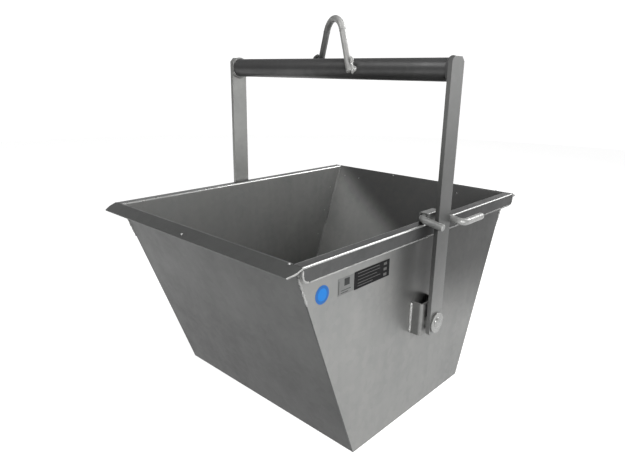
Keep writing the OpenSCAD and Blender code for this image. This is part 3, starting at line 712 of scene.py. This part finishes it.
    def outside_runs(self, pitch):
        """Rough stitch and tack welds on the tub's outer corners, and zinc drained along the skirts' edges."""
        stitch, drained = bmesh.new(), bmesh.new()
        slow = self.DRAIN_PITCH * pitch
        for x_sign in (-1, 1):
            for y_sign in (-1, 1):
                seed = self.STITCH_SEED + x_sign + 2 * y_sign
                ends = [(x_sign * self.STITCH_X, y_sign * (self.STITCH_FOOT + self.LEAN * h), h) for h in self.STITCH_H]
                straight_bead(stitch, *ends, self.STITCH_R, seed, pitch, self.ROUGH)
                tack = [(x_sign * x, y_sign * y, z) for x, y, z in self.TACK]
                straight_bead(stitch, *tack, self.STITCH_R, seed + 0.5, pitch, self.ROUGH)
                upright = [(x_sign * self.DRAIN_X, y_sign * self.SKIRT_END, h) for h in self.DRAIN_UP]
                straight_bead(drained, *upright, self.DRAIN_R, seed, slow)
                for step in range(self.TURN_STEPS):
                    turn = [(step + part) * math.pi / 2 / self.TURN_STEPS
                            for part in (-self.TURN_OVERLAP, 1 + self.TURN_OVERLAP)]
                    arc = [(x_sign * self.DRAIN_X, y_sign * (self.TURN_AT[0] + self.TURN_R * math.sin(a)),
                            self.TURN_AT[1] - self.TURN_R * math.cos(a)) for a in turn]
                    straight_bead(drained, *arc, self.DRAIN_R, seed + step, slow)
            x = x_sign * self.DRAIN_X
            straight_bead(drained, (x, -self.TURN_AT[0], self.DRAIN_H), (x, self.TURN_AT[0], self.DRAIN_H),
                          self.DRAIN_R, self.DRAIN_SEED + x_sign, slow)
        settle(stitch, "corner_stitch_beads", [finishes()["bead"]], "tub")
        # The drained edges take a light finish, a painted highlight, with painted shade towards the back
        settle(drained, "skirt_zinc_edges", [finishes()["drained"]], "tub")


class TUB_OT_drops(bpy.types.Operator):
    """Leaves small frozen zinc drops on the rims and walls, as the bath does."""

    bl_idname = "tub.drops"
    bl_label = "Zinc drops"

    DOWN, BACK, LEFT = (0, 0, -1), (0, 1, 0), (-1, 0, 0)
    # Sheet, a point before it, the way to it and the drop's size in shares of the common one
    PLACES = (("back_sheet", (-271, 404, 560), DOWN, 0.9), ("back_sheet", (-73, 414, 560), DOWN, 1),
              ("back_sheet", (278, 421, 560), DOWN, 1), ("front_sheet", (-4, -442, 560), DOWN, 1.2),
              ("front_sheet", (296, -422, 560), DOWN, 1.1), ("back_sheet", (-208, 0, 469), BACK, 0.8),
              ("back_sheet", (163, 0, 477), BACK, 0.8), ("left_side_sheet", (0, 362, 430), LEFT, 0.9),
              ("left_side_sheet", (0, 333, 352), LEFT, 0.8), ("left_side_sheet", (0, 301, 270), LEFT, 0.9))
    # Height of a drop as a share of its radius, and how uneven it is
    FLAT, LUMPY = 0.6, 0.25

    def execute(self, context):
        size = context.scene.tub_sizes.drop_size
        bm = bmesh.new()
        for seed, (node, start, way, share) in enumerate(self.PLACES):
            sheet = merged_copy(node)
            at, normal = BVHTree.FromBMesh(sheet).ray_cast(Vector(start) * MM, Vector(way))[:2]
            sheet.free()
            if at is None:
                raise RuntimeError(f"no place for a drop on {node}")
            turn = Matrix.Translation(at) @ normal.to_track_quat("Z", "Y").to_matrix().to_4x4()
            radius = size * share
            drop = bmesh.ops.create_icosphere(bm, subdivisions=3, radius=radius)["verts"]
            for v in drop:
                v.co *= 1 + self.LUMPY * noise.noise(v.co / radius + Vector((seed, 0, 0)))
            bmesh.ops.scale(bm, vec=(1, 1, self.FLAT), verts=drop)
            bmesh.ops.transform(bm, matrix=turn, verts=drop)
        # The drops take the folds' bright finish, a painted highlight
        settle(bm, "zinc_drops", [finishes()["bend"]], "tub")
        return {"FINISHED"}


class TUB_OT_labels(bpy.types.Operator):
    """Dresses the sticker, the pale label and the dark plate, and prints plain bars on them."""

    bl_idname = "tub.labels"
    bl_label = "Labels"

    # Bars on the plate and the label: start and end along the side, height and thickness, in millimetres
    PLATE_ROWS = ((-240, -168, 434, 1.4), (-240, -166, 427, 1.2), (-240, -176, 420, 1.2), (-240, -164, 413, 1.2),
                  (-240, -190, 407, 1.2), (-153, -142, 432, 6), (-153, -142, 420, 6), (-153, -142, 408, 6))
    LABEL_ROWS = ((-281, -265, 427, 15), (-291, -261, 411, 1.4), (-291, -269, 406, 1.4), (-298.5, -297, 419, 28))
    ROW_T, ROW_EASE, SIDE_OUT, PLATE_T, FILM_T = 0.15, 0.05, 305, 1.0, 0.4
    DISC_R, DISC_SIDES = 12.5, 64

    def rows(self, name, table, base, material, slot):
        bm = bmesh.new()
        for start, end, height, tall in table:
            size = Matrix.Diagonal((2 * self.ROW_T * MM, (end - start) * MM, tall * MM, 1))
            at = Matrix.Translation(Vector((self.SIDE_OUT + base, (start + end) / 2, height)) * MM)
            bmesh.ops.create_cube(bm, size=1, matrix=at @ size)
        ease(bm, self.ROW_EASE * MM, 1)
        settle(bm, name, [material], "tub")

    def execute(self, context):
        looks, width = finishes(), context.scene.tub_sizes.film_ease
        for name, finish in (("round_sticker", "blue"), ("pale_label", "pale"), ("data_plate", "plate")):
            dress(name, [looks[finish]], width)
        low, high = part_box("round_sticker")
        middle = (Vector(low) + Vector(high)) / 2
        bm = bmesh.new()
        turn = Matrix.Translation((high[0], middle.y, middle.z)) @ Matrix.Rotation(math.pi / 2, 4, "Y")
        bmesh.ops.create_cone(bm, cap_ends=True, segments=self.DISC_SIDES, radius1=self.DISC_R * MM,
                              radius2=self.DISC_R * MM, depth=2 * self.ROW_T * MM, matrix=turn)
        ease(bm, self.ROW_EASE * MM, 1)
        settle(bm, "sticker_middle", [looks["light_blue"]], "tub")
        self.rows("plate_bars", self.PLATE_ROWS, self.PLATE_T, looks["print"], "pale_film")
        self.rows("label_bars", self.LABEL_ROWS, self.FILM_T, looks["dark_print"], "black_plate")
        return {"FINISHED"}


class TUB_PT_panel(bpy.types.Panel):
    """Lists the tub's steps and sizes."""

    bl_idname = "TUB_PT_panel"
    bl_label = "Tipping tub"
    bl_space_type = "VIEW_3D"
    bl_region_type = "UI"
    bl_category = "Tub"

    def draw(self, context):
        for step in STEPS:
            self.layout.operator(step.bl_idname)
        for group in (context.scene.tub_sizes, context.scene.tub_finish, context.scene.tub_studio):
            for name in group.__annotations__:
                self.layout.prop(group, name)


STEPS = (TUB_OT_stage, TUB_OT_sheets, TUB_OT_bail, TUB_OT_latch, TUB_OT_pins, TUB_OT_welds,
         TUB_OT_drops, TUB_OT_labels)
GROUPS = {"tub_finish": TubFinish, "tub_sizes": TubSizes, "tub_studio": TubStudio}


def register():
    for kind in (*GROUPS.values(), *STEPS, TUB_PT_panel):
        bpy.utils.register_class(kind)
    for name, group in GROUPS.items():
        setattr(bpy.types.Scene, name, bpy.props.PointerProperty(type=group))


def unregister():
    for name in GROUPS:
        delattr(bpy.types.Scene, name)
    for kind in (TUB_PT_panel, *reversed(STEPS), *GROUPS.values()):
        bpy.utils.unregister_class(kind)


def main():
    register()
    bpy.ops.tub.stage()
    bpy.ops.tub.sheets()
    bpy.ops.tub.bail()
    bpy.ops.tub.latch()
    bpy.ops.tub.pins()
    bpy.ops.tub.welds()
    bpy.ops.tub.drops()
    bpy.ops.tub.labels()


if __name__ == "__main__":
    main()
